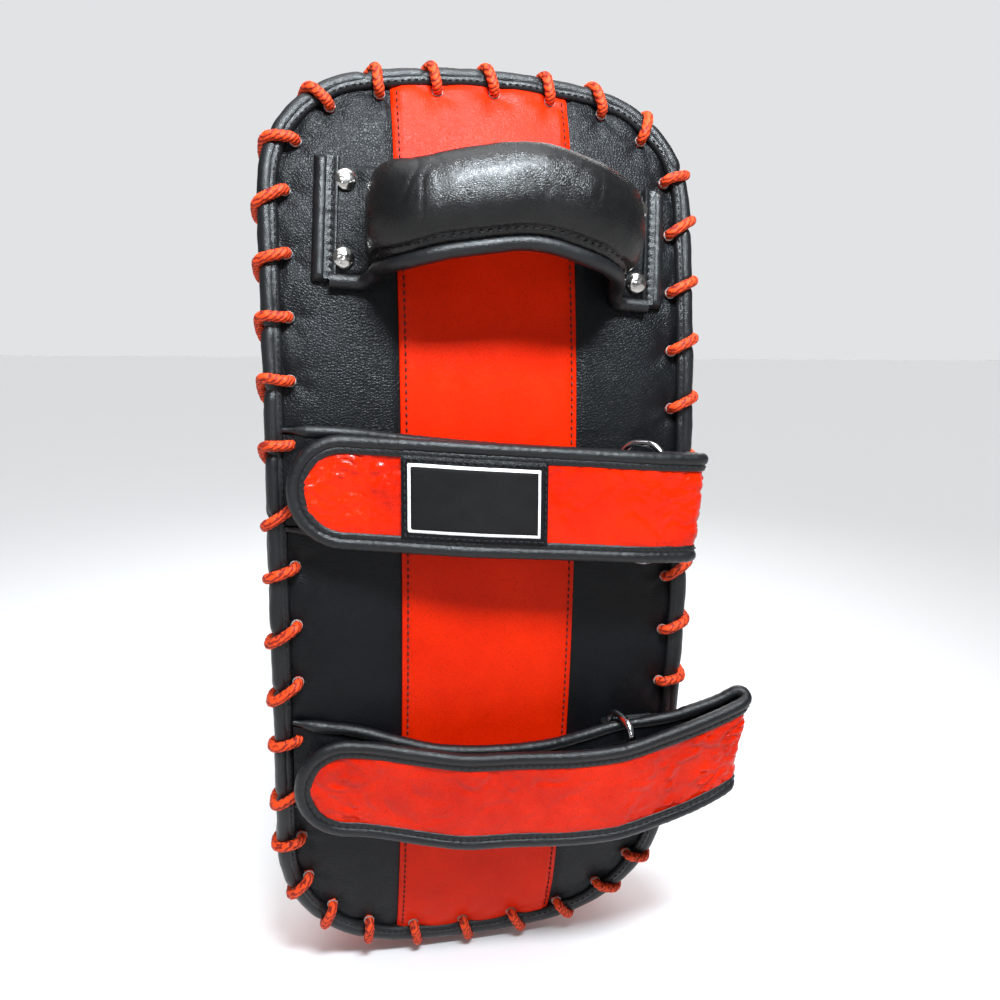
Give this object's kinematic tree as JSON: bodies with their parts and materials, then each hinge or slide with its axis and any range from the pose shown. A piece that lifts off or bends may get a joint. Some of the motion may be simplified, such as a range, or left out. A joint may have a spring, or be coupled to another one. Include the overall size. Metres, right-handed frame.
{
  "type": "thai kick pad",
  "caption": "Bent rectangular kick pad with a laced rim, a padded riveted handle and two hook-and-loop forearm straps.",
  "frame": {"origin": "middle of the back panel's outer face, where the forearm rests", "axes": "+Z along the pad towards the handle end, +Y out of the back, -Y out of the strike face, +X to the side where the straps are sewn down"},
  "size_m": [0.2339, 0.1522, 0.4533],
  "materials": {
    "black_leather": "satin, fine grain",
    "handle_leather": "glossy, fine grain",
    "red_vinyl": "semi-gloss, fine grain",
    "strap_vinyl": "glossy, creased",
    "white_vinyl": "satin",
    "black_piping": "satin",
    "red_cord": "braided",
    "foam": "matte closed-cell foam",
    "black_webbing": "woven",
    "hook_and_loop": "matte",
    "nickel": "polished nickel",
    "chrome": "polished chrome",
    "black_plastic": "matte"
  },
  "bodies": {
    "root": {"strike_foam": "foam", "core_foam": "foam", "back_foam": "foam", "handle_grip_foam": "foam", "strike_cover": "black_leather", "target_disc": "white_vinyl", "gusset_band": "red_vinyl", "back_panel_left": "black_leather", "back_panel_right": "black_leather", "back_panel_stripe": "red_vinyl", "rim_binding_back": "black_piping", "rim_binding_gusset": "black_piping", "edge_lace": "red_cord", "lace_knot": "red_cord", "handle_core_strap": "black_webbing", "handle_grip_cover": "handle_leather", "handle_grip_piping": "black_piping", "handle_tab_left": "handle_leather", "handle_end_binding_left": "black_piping", "handle_backing_left": "black_plastic", "handle_tab_right": "handle_leather", "handle_end_binding_right": "black_piping", "handle_backing_right": "black_plastic", "handle_rivet_1": "nickel", "handle_burr_1": "nickel", "handle_rivet_2": "nickel", "handle_burr_2": "nickel", "handle_rivet_3": "nickel", "handle_burr_3": "nickel", "handle_rivet_4": "nickel", "handle_burr_4": "nickel", "upper_strap_base": "strap_vinyl", "upper_base_binding_top": "black_piping", "upper_base_binding_bottom": "black_piping", "upper_loop_patch": "hook_and_loop", "upper_ring_tab": "black_leather", "lower_strap_base": "strap_vinyl", "lower_base_binding_top": "black_piping", "lower_base_binding_bottom": "black_piping", "lower_loop_patch": "hook_and_loop", "lower_ring_tab": "black_leather"},
    "upper_tail": {"upper_strap_tail": "strap_vinyl", "upper_tail_binding": "black_piping", "upper_hook_patch": "hook_and_loop", "upper_label_patch": "black_leather", "upper_label_border": "white_vinyl"},
    "lower_tail": {"lower_strap_tail": "strap_vinyl", "lower_tail_binding": "black_piping", "lower_hook_patch": "hook_and_loop"},
    "upper_ring": {"upper_ring": "chrome"},
    "lower_ring": {"lower_ring": "chrome"}
  },
  "joints": [
    {"name": "upper_tail_peel", "type": "hinge", "parent": "root", "child": "upper_tail", "pos_m": [-0.05585, 0.03117, 0.02219], "axis": [0, -0.0092, 1], "range_deg": [0, 110]},
    {"name": "lower_tail_peel", "type": "hinge", "parent": "root", "child": "lower_tail", "pos_m": [-0.05585, 0.02952, -0.11882], "axis": [0, 0.132, 0.9912], "range_deg": [0, 110]},
    {"name": "upper_ring_tilt", "type": "hinge", "parent": "root", "child": "upper_ring", "pos_m": [-0.063, 0.00447, 0.02124], "axis": [0, -0.0083, 1], "range_deg": [-4, 4]},
    {"name": "lower_ring_tilt", "type": "hinge", "parent": "root", "child": "lower_ring", "pos_m": [-0.063, -0.00181, -0.11241], "axis": [0, 0.1291, 0.9916], "range_deg": [-4, 6]}
  ]
}
